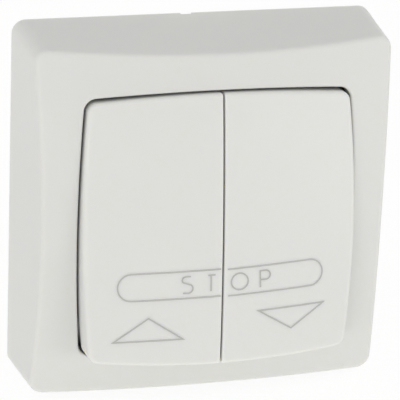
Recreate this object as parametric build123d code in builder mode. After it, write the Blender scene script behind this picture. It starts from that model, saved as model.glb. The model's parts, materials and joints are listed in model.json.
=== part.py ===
"""Surface mounted roller shutter switch with two rocking keys, in millimetres.

The wall is the plane Y = 0, the front looks along -Y, X runs to the right and Z upwards.
The origin is the middle of the back, between the two wall fixing slots.
A depth is the distance from the wall, so it lies at Y = -depth.
"""
import os
from math import cos, radians, sin

from build123d import *

# Cover frame
cover_size = 80.0  # width and height against the wall
cover_corner_radius = 3.0
cover_wall = 2.0
side_border = 9.75  # from the back outline in to the opening, at the middles of the sides
end_border = 9.75
crown_depth = 26.6  # depth that the domed front would have at its middle
dome_radius = 176.0
lean_at_corners = 1.6  # how far the drafted sides lean in at the crown's depth
lean_at_middles = 2.65
cover_front_edge_radius = 1.1
opening_edge_radius = 0.45
collar_wall = 1.5
collar_length = 9.0

# Pry notch at the top back edge
notch_x = -2.0
notch_width = 2.4
notch_height = 1.0
notch_length = 0.7

# Snap arms that hold the cover on the box
snap_x = 20.0
snap_width = 6.0
snap_thickness = 1.3
snap_back_depth = 7.5
snap_barb = 0.9
snap_barb_length = 2.0
snap_barb_shoulder = 1.0
snap_window_margin = 0.4

# Thin walled knock-outs for surface trunking, in the cover and in the box
knockout_width = 16.0
knockout_depth = 9.0
knockout_web = 0.8

# Back box
box_corner_radius = 2.5
box_wall = 1.8
box_height = 15.4
box_clearance = 0.35
floor_thickness = 2.2
wall_fixing_inset = 10.0  # from the cover's back outline to the middle of a slot
wall_slot_length = 7.0
wall_slot_width = 4.2
cable_window_width = 30.0
cable_window_height = 16.0
cable_window_corner = 3.0
post_radius = 3.9
corner_rest_size = 7.0

# Support frame and its screws
yoke_thickness = 1.6
yoke_clearance = 0.6
yoke_corner_radius = 4.0
yoke_hole_radius = 1.6
screw_inset = 10.0  # from the cover's back outline to the middle of a screw
screw_radius = 1.25
screw_head_radius = 2.7
screw_head_height = 1.5
screw_length = 9.0
screw_tip = 1.0
cross_slot_length = 3.4
slot_width = 0.7
slot_depth = 0.7

# Mechanism housing
wiring_gap = 3.2  # between the box's floor and the back of the mechanism
housing_depth = 7.8
housing_half_height = 20.0
housing_corner_radius = 2.0
housing_wall = 1.5
chamber_floor = 2.5
well_floor = 1.6
chamber_wall = 1.2
housing_lug = 0.9
housing_lug_height = 1.2
housing_lug_width = 6.0
housing_lug_z = 10.0

# Mechanism cover
flange_overhang = 2.0
flange_thickness = 1.2
seat_clearance = 0.2
bearing_wall = 1.8
bearing_outer_radius = 2.6
bearing_margin = 0.5
middle_ear_width = 2.4

# Pivot pin and levers
pivot_height = 3.0  # of the pin's middle over the mechanism cover
rest_tilt = radians(6.5)
pin_radius = 1.25
pin_clearance = 0.05
pin_overhang = 0.3
lever_gap = 0.6  # side play between a lever and a bearing ear
lever_width = 17.0
hub_radius = 2.45
cheek_thickness = 1.6
table_height = 6.9
table_thickness = 1.4
table_half_length = 15.0
table_overhang = 2.0
arm_width = 5.0
arm_reach = 12.0
arm_root_half = 1.45
nose_radius = 2.0
nose_height = -0.4

# Keys
key_bow = 1.45
key_corner_radius = 2.4
key_split = 0.4
key_proud = 3.1  # height of the keys' crown over the cover's crown
key_side_gap = 0.5
key_top_gap = 1.15  # where the keys lie flat, so it is narrower at rest
key_bottom_gap = 0.3
key_dome_across = 170.0
key_dome_along = 376.0
key_skirt_height = 0.2
key_wall = 1.5
key_face_wall = 1.9
key_split_wall_height = 6.0
key_edge_radius = 0.9
key_split_edge_radius = 0.35
key_rib_thickness = 1.2
key_rib_offset = 2.6
key_leg_width = 3.0
key_leg_thickness = 1.4
key_leg_reach = 10.0
key_leg_inset = 2.2
key_hook = 0.8
key_hook_height = 1.4
clip_clearance = 0.2

# Plungers
plunger_head_width = 5.6
plunger_head_height = 4.8
plunger_flange_width = 8.0
plunger_flange_height = 6.2
plunger_flange_thickness = 0.9
plunger_chamfer = 0.3
plunger_clearance = 0.35
nose_clearance = 0.36

# Contacts
strip_thickness = 0.8
strip_width = 3.5
strip_corner_radius = 0.4
strip_neck = 2.0
strip_slope = 3.0
bridge_length = 14.0
bridge_width = 3.2
bridge_thickness = 0.5
contact_half_spacing = 5.5
contact_radius = 1.2
fixed_contact_height = 0.6
bridge_contact_height = 0.5

# Terminals
terminal_spacing = 14.0
clamp_width = 6.0
clamp_length = 5.6
clamp_wall = 0.8
clamp_end_gap = 1.1
clamp_top_gap = 0.65
clamp_clearance = 0.05
terminal_screw_radius = 1.4
terminal_head_radius = 2.3
terminal_head_height = 1.6
terminal_head_gap = 0.3
wire_room = 0.5
access_clearance = 0.4
wire_entry_radius = 1.45

# Rivets of the mechanism
rivet_radius = 1.0
rivet_head_radius = 1.7
rivet_head_height = 0.5
rivet_pillar_radius = 2.2
rivet_x = 8.5
rivet_z = 6.5

# Return springs
spring_wire = 0.45
spring_radius = 1.75
spring_turns = 4
spring_clearance = 0.05
spring_well_gap = 0.4

# Depths that follow, from the wall outwards
housing_back_depth = floor_thickness + wiring_gap
well_floor_depth = housing_back_depth + well_floor
chamber_floor_depth = housing_back_depth + chamber_floor
strip_front_depth = chamber_floor_depth + strip_thickness
yoke_back_depth = housing_back_depth + housing_depth
yoke_front_depth = yoke_back_depth + yoke_thickness
flange_front_depth = yoke_front_depth + flange_thickness
pivot_depth = flange_front_depth + pivot_height
key_height = crown_depth + key_proud - pivot_depth
cheek_top = table_height - table_thickness
nose_rest_depth = (
    pivot_depth + nose_height * cos(rest_tilt) + arm_reach * sin(rest_tilt) - nose_radius
)
plunger_head_depth = nose_rest_depth - nose_clearance
plunger_flange_front = yoke_back_depth - plunger_clearance
bridge_front_depth = plunger_flange_front - plunger_flange_thickness
bridge_back_depth = bridge_front_depth - bridge_thickness

# Widths and heights that follow
cover_half = cover_size / 2
wall_fixing_x = cover_half - wall_fixing_inset
screw_z = cover_half - screw_inset
opening_half_width = cover_half - side_border
opening_half_height = cover_half - end_border
key_half_width = opening_half_width - key_side_gap
key_half_height = opening_half_height - (key_top_gap + key_bottom_gap) / 2
key_middle = (key_bottom_gap - key_top_gap) / 2  # along the keys, from the pivot
opening_corner_radius = key_corner_radius + key_side_gap
box_half = cover_half - cover_wall - lean_at_middles * box_height / crown_depth - box_clearance
box_inner_half = box_half - box_wall
arm_outer_z = box_inner_half - seat_clearance
yoke_half_width = box_inner_half - yoke_clearance
yoke_half_height = arm_outer_z - snap_thickness - yoke_clearance
lever_inner_x = middle_ear_width / 2 + lever_gap
lever_outer_x = lever_inner_x + lever_width
lever_middle_x = lever_inner_x + lever_width / 2
outer_ear_x = lever_outer_x + lever_gap
housing_half_width = outer_ear_x + bearing_wall + bearing_margin
cavity_half_width = housing_half_width - housing_wall
cavity_half_height = housing_half_height - housing_wall
plunger_z = -arm_reach
terminal_z = cavity_half_height - clamp_length / 2 - clamp_end_gap
contact_inner_x = lever_middle_x - contact_half_spacing
contact_outer_x = lever_middle_x + contact_half_spacing
strip_end_z = plunger_z - strip_width / 2
leg_xs = (
    lever_inner_x + cheek_thickness + key_leg_inset,
    lever_outer_x - cheek_thickness - key_leg_inset,
)

# Places of what comes more than once, as (x, z)
screw_places = [(0, screw_z), (0, -screw_z)]
plunger_places = [(-lever_middle_x, plunger_z), (lever_middle_x, plunger_z)]
terminal_places = [(-terminal_spacing, terminal_z), (0, terminal_z), (terminal_spacing, terminal_z)]
rivet_places = [
    (-rivet_x, rivet_z),
    (rivet_x, rivet_z),
    (0, rivet_pillar_radius / 2 - cavity_half_height),
]
leg_places = [(x, end * key_leg_reach) for x in leg_xs for end in (-1, 1)]

# Planes through the pivot for the keys and levers, tilted as they rest
rest_plane = Plane(
    origin=(0, -pivot_depth, 0), x_dir=(1, 0, 0), z_dir=(0, -cos(rest_tilt), sin(rest_tilt))
)
lever_plane = Plane(
    origin=(0, -pivot_depth, 0), x_dir=(0, sin(rest_tilt), cos(rest_tilt)), z_dir=(1, 0, 0)
)
crown_plane = Plane(
    origin=(0, -pivot_depth, 0), x_dir=(1, 0, 0), z_dir=(0, -sin(rest_tilt), -cos(rest_tilt))
)


def at_depth(depth):
    """Plane parallel to the wall, whose normal points to the front."""
    return Plane.XZ.offset(depth)


def side_view(x):
    """Plane across the switch at x: its own axes are Y and Z."""
    return Plane.YZ.offset(x)


def dome_depth(x, z):
    """Depth of the cover's domed front over a place on the wall."""
    return crown_depth - (x * x + z * z) / (2 * dome_radius)


def key_crown(x, along):
    """Height of a key's face over the pivot."""
    return key_height - x * x / (2 * key_dome_across) - along * along / (2 * key_dome_along)


def bowed_outline(half_width, half_height, bow, corner):
    """Face whose four sides bulge by the bow at their middles, or pinch in where it is negative."""
    corner_x = half_width - bow
    corner_z = half_height - bow
    with BuildSketch() as outline:
        with BuildLine():
            ThreePointArc((corner_x, -corner_z), (half_width, 0), (corner_x, corner_z))
            ThreePointArc((corner_x, corner_z), (0, half_height), (-corner_x, corner_z))
            ThreePointArc((-corner_x, corner_z), (-half_width, 0), (-corner_x, -corner_z))
            ThreePointArc((-corner_x, -corner_z), (0, -half_height), (corner_x, -corner_z))
        make_face()
        fillet(outline.vertices(), corner)
    return outline.sketch


def domed_block(inset):
    """Drafted block with pinched sides and a domed front, inset on all sides but the back."""
    corner = cover_corner_radius - inset / 2
    back_half = cover_half - inset
    front_half = back_half - lean_at_middles
    with BuildPart() as block:
        with BuildSketch(at_depth(0)):
            RectangleRounded(2 * back_half, 2 * back_half, corner)
        with BuildSketch(at_depth(crown_depth)):
            add(bowed_outline(front_half, front_half, lean_at_corners - lean_at_middles, corner))
        loft()
        with Locations((0, dome_radius - crown_depth, 0)):
            Sphere(dome_radius - inset, mode=Mode.INTERSECT)
    return block.part


def opening_outline(grow):
    """Outline of the cover's opening, grown on all sides."""
    return bowed_outline(
        opening_half_width + grow, opening_half_height + grow, key_bow, opening_corner_radius + grow
    )


def key_half(shrink, edge_x):
    """Right half of the keys' barrel shaped outline, from edge_x outwards."""
    with BuildSketch() as outline:
        with Locations((0, key_middle)):
            add(
                bowed_outline(
                    key_half_width - shrink, key_half_height - shrink, key_bow, key_corner_radius - shrink / 2
                )
            )
        with Locations((edge_x - key_half_width, 0)):
            Rectangle(2 * key_half_width, 3 * key_half_height, mode=Mode.SUBTRACT)
    return outline.sketch


def key_dome(height):
    """Ring whose outside is curved across the keys and, more gently, along them."""
    reach = 1.2 * key_half_width
    edge_height = height - reach * reach / (2 * key_dome_across)
    turn_height = height - key_dome_along
    turn_axis = Axis(
        (0, -pivot_depth - turn_height * cos(rest_tilt), turn_height * sin(rest_tilt)), (1, 0, 0)
    )
    with BuildPart() as dome:
        with BuildSketch(crown_plane):
            with BuildLine():
                ThreePointArc((-reach, edge_height), (0, height), (reach, edge_height))
                Polyline((reach, edge_height), (reach, -height), (-reach, -height), (-reach, edge_height))
            make_face()
        revolve(axis=turn_axis)
    return dome.part


def finish(piece, label):
    """Names a finished piece and writes it."""
    piece.part.label = label
    export_step(piece.part, f"parts/{label}.step")


os.makedirs("parts", exist_ok=True)

# Cover frame: its hollow leaves a collar standing round the opening
with BuildPart() as cover_hollow:
    add(domed_block(cover_wall))
    with BuildSketch(at_depth(crown_depth - collar_length)):
        add(opening_outline(collar_wall))
    extrude(amount=crown_depth, mode=Mode.SUBTRACT)

with BuildPart() as cover_frame:
    add(domed_block(0))
    with BuildSketch(at_depth(0)):
        add(opening_outline(0))
    extrude(amount=2 * crown_depth, mode=Mode.SUBTRACT)
    front_face = cover_frame.faces().sort_by(Axis.Y)[0]
    fillet(front_face.outer_wire().edges(), cover_front_edge_radius)
    front_face = cover_frame.faces().sort_by(Axis.Y)[0]
    fillet(front_face.inner_wires()[0].edges(), opening_edge_radius)
    add(cover_hollow.part, mode=Mode.SUBTRACT)
    # snap arms, each with a barb that springs into a window of the box
    arm_inner_z = arm_outer_z - snap_thickness
    barb_depth = snap_back_depth + snap_barb_length
    shoulder_depth = barb_depth + snap_barb_shoulder
    for end in (1, -1):
        for x in (-snap_x, snap_x):
            with BuildSketch(at_depth(snap_back_depth)):
                with Locations((x, end * (arm_outer_z - snap_thickness / 2))):
                    Rectangle(snap_width, snap_thickness)
            extrude(amount=dome_depth(snap_x, arm_outer_z) - snap_back_depth - cover_wall / 2)
            with BuildSketch(side_view(x)):
                with BuildLine():
                    Polyline(
                        (-snap_back_depth, end * arm_inner_z),
                        (-snap_back_depth, end * arm_outer_z),
                        (-barb_depth, end * (arm_outer_z + snap_barb)),
                        (-shoulder_depth, end * arm_outer_z),
                        (-shoulder_depth, end * arm_inner_z),
                        close=True,
                    )
                make_face()
            extrude(amount=snap_width / 2, both=True)
    # pry notch
    with BuildSketch(at_depth(0)):
        with Locations((notch_x, cover_half - notch_height / 2)):
            Rectangle(notch_width, notch_height)
    extrude(amount=notch_length, mode=Mode.SUBTRACT)
    # thinned knock-outs in the top and bottom walls, as drafted as these are
    knockout_lean = lean_at_middles * knockout_depth / crown_depth
    for end in (1, -1):
        with BuildSketch(side_view(0)):
            with BuildLine():
                Polyline(
                    (0, end * (cover_half - knockout_web)),
                    (-knockout_depth, end * (cover_half - knockout_web - knockout_lean)),
                    (-knockout_depth, end * (cover_half - cover_wall - knockout_lean)),
                    (0, end * (cover_half - cover_wall - knockout_lean)),
                    close=True,
                )
            make_face()
        extrude(amount=knockout_width / 2, both=True, mode=Mode.SUBTRACT)
finish(cover_frame, "cover_frame")

# Back box
with BuildPart() as back_box:
    with BuildSketch(at_depth(0)):
        RectangleRounded(2 * box_half, 2 * box_half, box_corner_radius)
    extrude(amount=box_height)
    with BuildSketch(at_depth(floor_thickness)):
        RectangleRounded(2 * box_inner_half, 2 * box_inner_half, box_corner_radius / 2)
    extrude(amount=box_height, mode=Mode.SUBTRACT)
    # posts for the support frame, and corner rests at the same depth
    corner_rest = box_inner_half - corner_rest_size / 2
    with BuildSketch(at_depth(floor_thickness)):
        with Locations(*screw_places):
            Circle(post_radius)
        with GridLocations(2 * corner_rest, 2 * corner_rest, 2, 2):
            Rectangle(corner_rest_size, corner_rest_size)
    extrude(amount=yoke_back_depth - floor_thickness)
    with BuildSketch(at_depth(floor_thickness)):
        with Locations(*screw_places):
            Circle(screw_radius)
    extrude(amount=box_height, mode=Mode.SUBTRACT)
    # wall fixing slots and the cable window
    with BuildSketch(at_depth(0)):
        with Locations((wall_fixing_x, 0), (-wall_fixing_x, 0)):
            SlotOverall(wall_slot_length, wall_slot_width)
        RectangleRounded(cable_window_width, cable_window_height, cable_window_corner)
    extrude(amount=floor_thickness, mode=Mode.SUBTRACT)
    # windows for the barbs of the cover
    window_length = snap_barb_length + snap_barb_shoulder + 2 * snap_window_margin
    window_depth = snap_back_depth + (snap_barb_length + snap_barb_shoulder) / 2
    for x in (-snap_x, snap_x):
        with BuildSketch(side_view(x)):
            with Locations((-window_depth, 0)):
                Rectangle(window_length, 3 * box_half)
        extrude(amount=snap_width / 2 + snap_window_margin, both=True, mode=Mode.SUBTRACT)
    # thinned knock-outs in the top and bottom walls
    for end in (1, -1):
        with BuildSketch(at_depth(floor_thickness)):
            with Locations((0, end * box_inner_half)):
                Rectangle(knockout_width, 2 * (box_wall - knockout_web))
        extrude(amount=knockout_depth, mode=Mode.SUBTRACT)
finish(back_box, "back_box")

# Support frame
with BuildPart() as support_frame:
    with BuildSketch(at_depth(yoke_back_depth)):
        RectangleRounded(2 * yoke_half_width, 2 * yoke_half_height, yoke_corner_radius)
        Rectangle(
            2 * (housing_half_width + seat_clearance),
            2 * (housing_half_height + seat_clearance),
            mode=Mode.SUBTRACT,
        )
    extrude(amount=yoke_thickness)
    with Locations(at_depth(yoke_front_depth)):
        with Locations(*screw_places):
            CounterSinkHole(yoke_hole_radius, screw_head_radius + seat_clearance, yoke_thickness)
finish(support_frame, "support_frame")

# Support screws: countersunk, flush with the frame, with a cross slot
with BuildPart() as support_screws:
    for x, z in screw_places:
        with BuildSketch(side_view(x)):
            with BuildLine():
                Polyline(
                    (-yoke_front_depth, z),
                    (-yoke_front_depth, z + screw_head_radius),
                    (-yoke_front_depth + screw_head_height, z + screw_radius),
                    (-yoke_front_depth + screw_length, z + screw_radius),
                    (-yoke_front_depth + screw_length + screw_tip, z),
                    close=True,
                )
            make_face()
        revolve(axis=Axis((x, 0, z), (0, 1, 0)))
    with BuildSketch(at_depth(yoke_front_depth - slot_depth)):
        with Locations(*screw_places):
            Rectangle(cross_slot_length, slot_width)
            Rectangle(slot_width, cross_slot_length)
    extrude(amount=2 * slot_depth, mode=Mode.SUBTRACT)
finish(support_screws, "support_screws")

# Mechanism housing
with BuildPart() as mechanism_housing:
    with BuildSketch(at_depth(housing_back_depth)):
        RectangleRounded(2 * housing_half_width, 2 * housing_half_height, housing_corner_radius)
    extrude(amount=housing_depth)
    with BuildSketch(at_depth(chamber_floor_depth)):
        Rectangle(2 * cavity_half_width, 2 * cavity_half_height)
        with Locations(*rivet_places):
            Circle(rivet_pillar_radius, mode=Mode.SUBTRACT)
        for x in (-terminal_spacing / 2, terminal_spacing / 2):
            with Locations((x, cavity_half_height)):
                Rectangle(chamber_wall, 2 * (clamp_end_gap + clamp_length), mode=Mode.SUBTRACT)
    extrude(amount=housing_depth, mode=Mode.SUBTRACT)
    # wells for the return springs and pockets for the clamps
    with BuildSketch(at_depth(well_floor_depth)):
        with Locations(*plunger_places):
            Circle(spring_radius + spring_wire / 2 + spring_well_gap)
        with Locations(*terminal_places):
            Rectangle(clamp_width + 2 * seat_clearance, clamp_length + 2 * seat_clearance)
    extrude(amount=housing_depth, mode=Mode.SUBTRACT)
    # rivet holes with counterbores at the back
    with BuildSketch(at_depth(housing_back_depth)):
        with Locations(*rivet_places):
            Circle(rivet_radius)
    extrude(amount=housing_depth, mode=Mode.SUBTRACT)
    with BuildSketch(at_depth(housing_back_depth)):
        with Locations(*rivet_places):
            Circle(rivet_head_radius)
    extrude(amount=rivet_head_height, mode=Mode.SUBTRACT)
    # round wire entries through the top wall, one in front of each clamp
    clamp_front_depth = yoke_back_depth - clamp_top_gap
    wire_depth = (strip_front_depth + clamp_front_depth - clamp_wall) / 2
    with BuildSketch(Plane.XY.offset(cavity_half_height)):
        with Locations(*[(x, -wire_depth) for x, z in terminal_places]):
            Circle(wire_entry_radius)
    extrude(amount=housing_wall, mode=Mode.SUBTRACT)
    # lugs that catch under the support frame
    with BuildSketch(at_depth(yoke_back_depth - housing_lug_height)):
        with GridLocations(2 * housing_half_width + housing_lug, 2 * housing_lug_z, 2, 2):
            Rectangle(housing_lug, housing_lug_width)
    extrude(amount=housing_lug_height)
finish(mechanism_housing, "mechanism_housing")

# Mechanism cover
with BuildPart() as mechanism_cover:
    with BuildSketch(at_depth(yoke_back_depth)):
        RectangleRounded(2 * housing_half_width, 2 * housing_half_height, housing_corner_radius)
    extrude(amount=yoke_thickness)
    with BuildSketch(at_depth(yoke_front_depth)):
        RectangleRounded(
            2 * (housing_half_width + flange_overhang),
            2 * (housing_half_height + flange_overhang),
            housing_corner_radius,
        )
    extrude(amount=flange_thickness)
    # bearing ears of the pivot pin
    for inner_x, wall in (
        (-outer_ear_x - bearing_wall, bearing_wall),
        (-middle_ear_width / 2, middle_ear_width),
        (outer_ear_x, bearing_wall),
    ):
        with BuildSketch(side_view(inner_x)):
            with Locations((-pivot_depth, 0)):
                Circle(bearing_outer_radius)
            with Locations((pivot_height / 2 - pivot_depth, 0)):
                Rectangle(pivot_height, 2 * bearing_outer_radius)
        extrude(amount=wall)
    with BuildSketch(side_view(-housing_half_width)):
        with Locations((-pivot_depth, 0)):
            Circle(pin_radius)
    extrude(amount=2 * housing_half_width, mode=Mode.SUBTRACT)
    # guides of the plungers, screwdriver holes over the terminals and rivet holes
    with BuildSketch(at_depth(yoke_back_depth)):
        with Locations(*plunger_places):
            Rectangle(plunger_head_width + 2 * plunger_clearance, plunger_head_height + 2 * plunger_clearance)
        with Locations(*terminal_places):
            Circle(terminal_head_radius + access_clearance)
        with Locations(*rivet_places):
            Circle(rivet_radius)
    extrude(amount=yoke_thickness + flange_thickness, mode=Mode.SUBTRACT)
finish(mechanism_cover, "mechanism_cover")

# Rivets that close the mechanism
with BuildPart() as housing_rivets:
    with BuildSketch(at_depth(housing_back_depth)):
        with Locations(*rivet_places):
            Circle(rivet_head_radius)
    extrude(amount=rivet_head_height)
    with BuildSketch(at_depth(housing_back_depth)):
        with Locations(*rivet_places):
            Circle(rivet_radius)
    extrude(amount=flange_front_depth - housing_back_depth)
    with BuildSketch(at_depth(flange_front_depth)):
        with Locations(*rivet_places):
            Circle(rivet_head_radius)
    extrude(amount=rivet_head_height)
finish(housing_rivets, "housing_rivets")

# Pivot pin
pin_end_x = outer_ear_x + bearing_wall + pin_overhang
with BuildPart() as pivot_pin:
    with BuildSketch(side_view(-pin_end_x)):
        with Locations((-pivot_depth, 0)):
            Circle(pin_radius)
    extrude(amount=2 * pin_end_x)
    chamfer(pivot_pin.edges().filter_by(GeomType.CIRCLE), pin_overhang / 2)
finish(pivot_pin, "pivot_pin")

# Terminal strips: they lie on the chamber floor, from the clamps down to the contacts
strip_top_z = terminal_z + clamp_length / 2
with BuildPart() as common_terminal:
    with BuildSketch(at_depth(chamber_floor_depth)):
        with Locations((0, (strip_top_z + strip_end_z) / 2)):
            Rectangle(strip_width, strip_top_z - strip_end_z)
        with Locations((0, plunger_z)):
            Rectangle(2 * contact_inner_x + strip_width, strip_width)
    extrude(amount=strip_thickness)
    fillet(common_terminal.edges().filter_by(Axis.Y), strip_corner_radius)
finish(common_terminal, "common_terminal")

neck_z = terminal_z - clamp_length / 2 - strip_neck
with BuildPart() as down_terminal:
    with BuildSketch(at_depth(chamber_floor_depth)):
        with BuildLine():
            Polyline(
                (terminal_spacing - strip_width / 2, strip_top_z),
                (terminal_spacing + strip_width / 2, strip_top_z),
                (terminal_spacing + strip_width / 2, neck_z),
                (contact_outer_x + strip_width / 2, neck_z - strip_slope),
                (contact_outer_x + strip_width / 2, strip_end_z),
                (contact_outer_x - strip_width / 2, strip_end_z),
                (contact_outer_x - strip_width / 2, neck_z - strip_slope),
                (terminal_spacing - strip_width / 2, neck_z),
                close=True,
            )
        make_face()
    extrude(amount=strip_thickness)
    fillet(down_terminal.edges().filter_by(Axis.Y), strip_corner_radius)
finish(down_terminal, "down_terminal")

with BuildPart() as up_terminal:
    mirror(down_terminal.part, about=Plane.YZ)
finish(up_terminal, "up_terminal")

# Contact rivets on the strips
with BuildPart() as fixed_contacts:
    with BuildSketch(at_depth(strip_front_depth)):
        for x in (contact_inner_x, contact_outer_x):
            with Locations((x, plunger_z), (-x, plunger_z)):
                Circle(contact_radius)
    extrude(amount=fixed_contact_height)
finish(fixed_contacts, "fixed_contacts")

# Cage clamps around the strips' ends
clamp_back_depth = well_floor_depth + clamp_clearance
clamp_height = clamp_front_depth - clamp_back_depth
for (x, z), label in zip(terminal_places, ("up_clamp", "line_clamp", "down_clamp")):
    with BuildPart() as clamp:
        with BuildSketch(Plane.XY.offset(z - clamp_length / 2)):
            with Locations((x, -clamp_back_depth - clamp_height / 2)):
                Rectangle(clamp_width, clamp_height)
                Rectangle(clamp_width - 2 * clamp_wall, clamp_height - 2 * clamp_wall, mode=Mode.SUBTRACT)
        extrude(amount=clamp_length)
        with BuildSketch(at_depth(clamp_front_depth - clamp_wall)):
            with Locations((x, z)):
                Circle(terminal_screw_radius)
        extrude(amount=clamp_wall, mode=Mode.SUBTRACT)
    finish(clamp, label)

# Clamp screws
terminal_head_depth = yoke_back_depth + terminal_head_gap
screw_tip_depth = strip_front_depth + wire_room
with BuildPart() as terminal_screws:
    with BuildSketch(at_depth(screw_tip_depth)):
        with Locations(*terminal_places):
            Circle(terminal_screw_radius)
    extrude(amount=terminal_head_depth - screw_tip_depth)
    with BuildSketch(at_depth(terminal_head_depth)):
        with Locations(*terminal_places):
            Circle(terminal_head_radius)
    extrude(amount=terminal_head_height)
    with BuildSketch(at_depth(terminal_head_depth + terminal_head_height - slot_depth)):
        with Locations(*terminal_places):
            Rectangle(slot_width, 2 * terminal_head_radius)
    extrude(amount=2 * slot_depth, mode=Mode.SUBTRACT)
finish(terminal_screws, "terminal_screws")

# Levers: the right one is drawn and the left one mirrored
with BuildPart() as down_lever:
    # hub round the pin
    with BuildSketch(lever_plane.offset(lever_inner_x)):
        Circle(hub_radius)
    extrude(amount=lever_width)
    # two cheeks that carry the table
    for x in (lever_inner_x, lever_outer_x - cheek_thickness):
        with BuildSketch(lever_plane.offset(x)):
            with BuildLine():
                Polyline(
                    (-hub_radius, 0),
                    (hub_radius, 0),
                    (table_half_length - table_overhang, cheek_top),
                    (table_overhang - table_half_length, cheek_top),
                    close=True,
                )
            make_face()
        extrude(amount=cheek_thickness)
    # arm that carries the round nose
    with BuildSketch(lever_plane.offset(lever_middle_x - arm_width / 2)):
        with BuildLine():
            Polyline(
                (0, hub_radius),
                (0, -arm_root_half),
                (-arm_reach, nose_height - nose_radius + arm_root_half / 4),
                (-arm_reach - nose_radius, nose_height),
                (-arm_reach, cheek_top),
                (-hub_radius, cheek_top),
                close=True,
            )
        make_face()
        with Locations((-arm_reach, nose_height)):
            Circle(nose_radius)
    extrude(amount=arm_width)
    # table that the key clips on
    with BuildSketch(lever_plane.offset(lever_inner_x)):
        with Locations((0, table_height - table_thickness / 2)):
            Rectangle(2 * table_half_length, table_thickness)
    extrude(amount=lever_width)
    with BuildSketch(lever_plane.offset(lever_inner_x)):
        Circle(pin_radius + pin_clearance)
    extrude(amount=lever_width, mode=Mode.SUBTRACT)
    # slots for the key's legs
    with BuildSketch(rest_plane.offset(cheek_top)):
        with Locations(*leg_places):
            Rectangle(
                key_leg_width + 2 * clip_clearance,
                key_leg_thickness + 2 * key_hook + 2 * clip_clearance,
            )
    extrude(amount=table_thickness, mode=Mode.SUBTRACT)
finish(down_lever, "down_lever")

with BuildPart() as up_lever:
    mirror(down_lever.part, about=Plane.YZ)
finish(up_lever, "up_lever")

# Keys: the right one is drawn and the left one mirrored
with BuildPart() as key_hollow:
    with BuildSketch(rest_plane.offset(key_skirt_height - key_wall)):
        add(key_half(key_wall, key_split / 2 + key_wall))
    extrude(amount=2 * key_height)
    with BuildSketch(rest_plane.offset(key_skirt_height - key_wall)):
        add(key_half(key_wall, -key_split))
    extrude(amount=key_split_wall_height - key_skirt_height + key_wall)
    add(key_dome(key_height - key_face_wall), mode=Mode.INTERSECT)

with BuildPart() as down_key:
    with BuildSketch(rest_plane.offset(key_skirt_height)):
        add(key_half(0, key_split / 2))
    extrude(amount=2 * key_height)
    add(key_dome(key_height), mode=Mode.INTERSECT)
    face_edges = down_key.faces().sort_by(Axis.Y)[0].edges().sort_by(Axis.X)
    fillet(face_edges[1:], key_edge_radius)
    face_edges = down_key.faces().sort_by(Axis.Y)[0].edges().sort_by(Axis.X)
    fillet(face_edges[0], key_split_edge_radius)
    add(key_hollow.part, mode=Mode.SUBTRACT)
    # ribs that rest on the lever's table
    for x in (leg_xs[0] - key_rib_offset, leg_xs[1] + key_rib_offset):
        with BuildSketch(rest_plane.offset(table_height)):
            with Locations((x, 0)):
                Rectangle(key_rib_thickness, 2 * (table_half_length - table_overhang))
        extrude(amount=key_crown(x, table_half_length) - key_face_wall / 2 - table_height)
    # legs that hook under the table
    for x, along in leg_places:
        outward = 1 if along > 0 else -1
        with BuildSketch(rest_plane.offset(cheek_top - key_hook_height)):
            with Locations((x, along)):
                Rectangle(key_leg_width, key_leg_thickness)
        extrude(amount=key_crown(x, along) - key_face_wall / 2 - cheek_top + key_hook_height)
        with BuildSketch(lever_plane.offset(x - key_leg_width / 2)):
            with BuildLine():
                Polyline(
                    (along, cheek_top),
                    (along + outward * (key_leg_thickness / 2 + key_hook), cheek_top),
                    (along, cheek_top - key_hook_height),
                    close=True,
                )
            make_face()
        extrude(amount=key_leg_width)
finish(down_key, "down_key")

with BuildPart() as up_key:
    mirror(down_key.part, about=Plane.YZ)
finish(up_key, "up_key")

# Plungers, contact bridges with their rivets, and return springs
spring_start_depth = well_floor_depth + spring_wire / 2 + spring_clearance
spring_height = bridge_back_depth - spring_wire / 2 - spring_clearance - spring_start_depth
for (x, z), name in zip(plunger_places, ("up", "down")):
    with BuildPart() as plunger:
        with BuildSketch(at_depth(bridge_front_depth)):
            with Locations((x, z)):
                Rectangle(plunger_flange_width, plunger_flange_height)
        extrude(amount=plunger_flange_thickness)
        with BuildSketch(at_depth(plunger_flange_front)):
            with Locations((x, z)):
                Rectangle(plunger_head_width, plunger_head_height)
        extrude(amount=plunger_head_depth - plunger_flange_front)
        chamfer(plunger.faces().sort_by(Axis.Y)[0].edges(), plunger_chamfer)
    finish(plunger, f"{name}_plunger")

    with BuildPart() as bridge:
        with BuildSketch(at_depth(bridge_back_depth)):
            with Locations((x, z)):
                SlotOverall(bridge_length, bridge_width)
        extrude(amount=bridge_thickness)
    finish(bridge, f"{name}_bridge")

    with BuildPart() as bridge_contacts:
        with BuildSketch(at_depth(bridge_back_depth - bridge_contact_height)):
            with Locations((x - contact_half_spacing, z), (x + contact_half_spacing, z)):
                Circle(contact_radius)
        extrude(amount=bridge_contact_height)
    finish(bridge_contacts, f"{name}_bridge_contacts")

    with BuildPart() as return_spring:
        with BuildLine() as coil:
            Helix(
                spring_height / spring_turns,
                spring_height,
                spring_radius,
                center=(x, -spring_start_depth, z),
                direction=(0, -1, 0),
            )
        with BuildSketch(Plane(origin=coil.line @ 0, z_dir=coil.line % 0)):
            Circle(spring_wire / 2)
        sweep()
    finish(return_spring, f"{name}_return_spring")
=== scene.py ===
import json
from math import cos, pi, radians, sin

import bpy
from bpy.props import FloatProperty, FloatVectorProperty, PointerProperty, StringProperty
from mathutils import Matrix, Vector


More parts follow.
